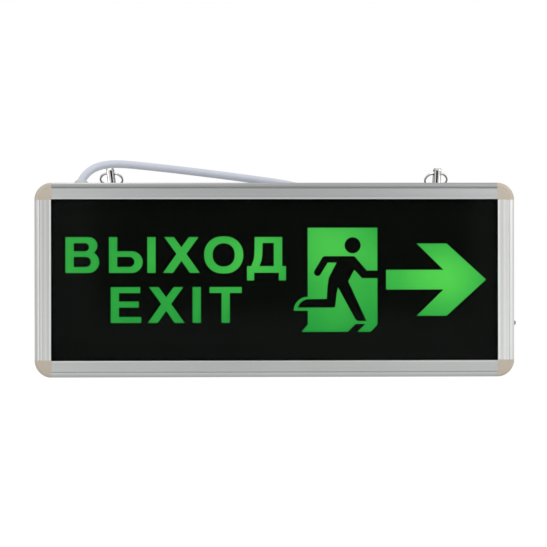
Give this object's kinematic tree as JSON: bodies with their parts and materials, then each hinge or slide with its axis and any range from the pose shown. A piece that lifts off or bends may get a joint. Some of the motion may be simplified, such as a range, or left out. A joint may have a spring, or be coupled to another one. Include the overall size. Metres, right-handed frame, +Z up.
{
  "type": "emergency exit light",
  "caption": "Slim edge-framed emergency exit light with a backlit running-figure legend and arrow, split rings to hang it by, a mains cable and a side test button.",
  "frame": {"origin": "under the middle of the bottom edge, half way through the frame depth, on the plane the sign stands on", "axes": "+X to the right along the sign as it is read, -Y out of the legend towards the reader, +Z up"},
  "size_m": [0.3612, 0.0525, 0.1645],
  "materials": {
    "frame_aluminium": "satin anodised extrusion",
    "corner_plastic": "moulded beige plastic",
    "clear_acrylic": "clear polished acrylic",
    "black_print": "opaque black print",
    "green_film": "translucent green film",
    "opal_acrylic": "opal acrylic",
    "back_sheet": "painted sheet",
    "white_sheet": "white reflector sheet",
    "circuit_board": "laminate",
    "lamp_board": "white laminate",
    "lamp_body": "moulded lamp",
    "transformer_core": "laminated core",
    "capacitor_sleeve": "shrink sleeve",
    "fuse_glass": "glass tube",
    "terminal_plastic": "moulded",
    "button_plastic": "moulded grey",
    "switch_plastic": "moulded",
    "battery_sleeve": "shrink sleeve",
    "spring_steel": "plain",
    "hanger_chrome": "bright nickel",
    "plated_steel": "zinc plated",
    "grommet_rubber": "soft grey",
    "cable_sheath": "soft white sheath",
    "core_brown": "insulation",
    "core_blue": "insulation",
    "core_earth": "insulation",
    "ferrule_tin": "tinned"
  },
  "bodies": {
    "sign": {"back_panel": "back_sheet", "battery_clip_1": "spring_steel", "battery_clip_2": "spring_steel", "battery_pack": "battery_sleeve", "black_mask": "black_print", "bottom_profile": "frame_aluminium", "cable_gland": "grommet_rubber", "capacitor": "capacitor_sleeve", "core_blue": "core_blue", "core_brown": "core_brown", "core_earth": "core_earth", "corner_bottom_left": "corner_plastic", "corner_bottom_right": "corner_plastic", "corner_top_left": "corner_plastic", "corner_top_right": "corner_plastic", "diffuser": "opal_acrylic", "driver_board": "circuit_board", "ferrule_blue": "ferrule_tin", "ferrule_brown": "ferrule_tin", "ferrule_earth": "ferrule_tin", "front_glass": "clear_acrylic", "fuse": "fuse_glass", "green_film": "green_film", "lamp_bar_lower": "lamp_board", "lamp_bar_upper": "lamp_board", "lamp_lower_1": "lamp_body", "lamp_lower_2": "lamp_body", "lamp_lower_3": "lamp_body", "lamp_lower_4": "lamp_body", "lamp_upper_1": "lamp_body", "lamp_upper_2": "lamp_body", "lamp_upper_3": "lamp_body", "lamp_upper_4": "lamp_body", "left_hanger_lug": "hanger_chrome", "left_lug_plate": "plated_steel", "left_profile": "frame_aluminium", "mains_cable": "cable_sheath", "reflector": "white_sheet", "right_hanger_lug": "hanger_chrome", "right_lug_plate": "plated_steel", "right_profile": "frame_aluminium", "screw_bottom_left": "plated_steel", "screw_bottom_right": "plated_steel", "screw_top_left": "plated_steel", "screw_top_right": "plated_steel", "switch_board": "circuit_board", "terminal_block": "terminal_plastic", "test_switch": "switch_plastic", "top_profile": "frame_aluminium", "transformer": "transformer_core"},
    "button": {"test_button": "button_plastic"},
    "left_ring": {"left_split_ring": "hanger_chrome"},
    "right_ring": {"right_split_ring": "hanger_chrome"}
  },
  "joints": [
    {"name": "test_press", "type": "slide", "parent": "sign", "child": "button", "axis": [-1, 0, 0], "range_m": [0, 0.001], "stiffness_N_per_m": 300, "springref_m": -0.0015},
    {"name": "left_ring_swing", "type": "hinge", "parent": "sign", "child": "left_ring", "pos_m": [-0.12351, 0, 0.15319], "axis": [1, 0, 0], "range_deg": [0, 244]},
    {"name": "right_ring_swing", "type": "hinge", "parent": "sign", "child": "right_ring", "pos_m": [0.12293, 0.0015, 0.15324], "axis": [1, 0, 0], "range_deg": [0, 244]}
  ]
}
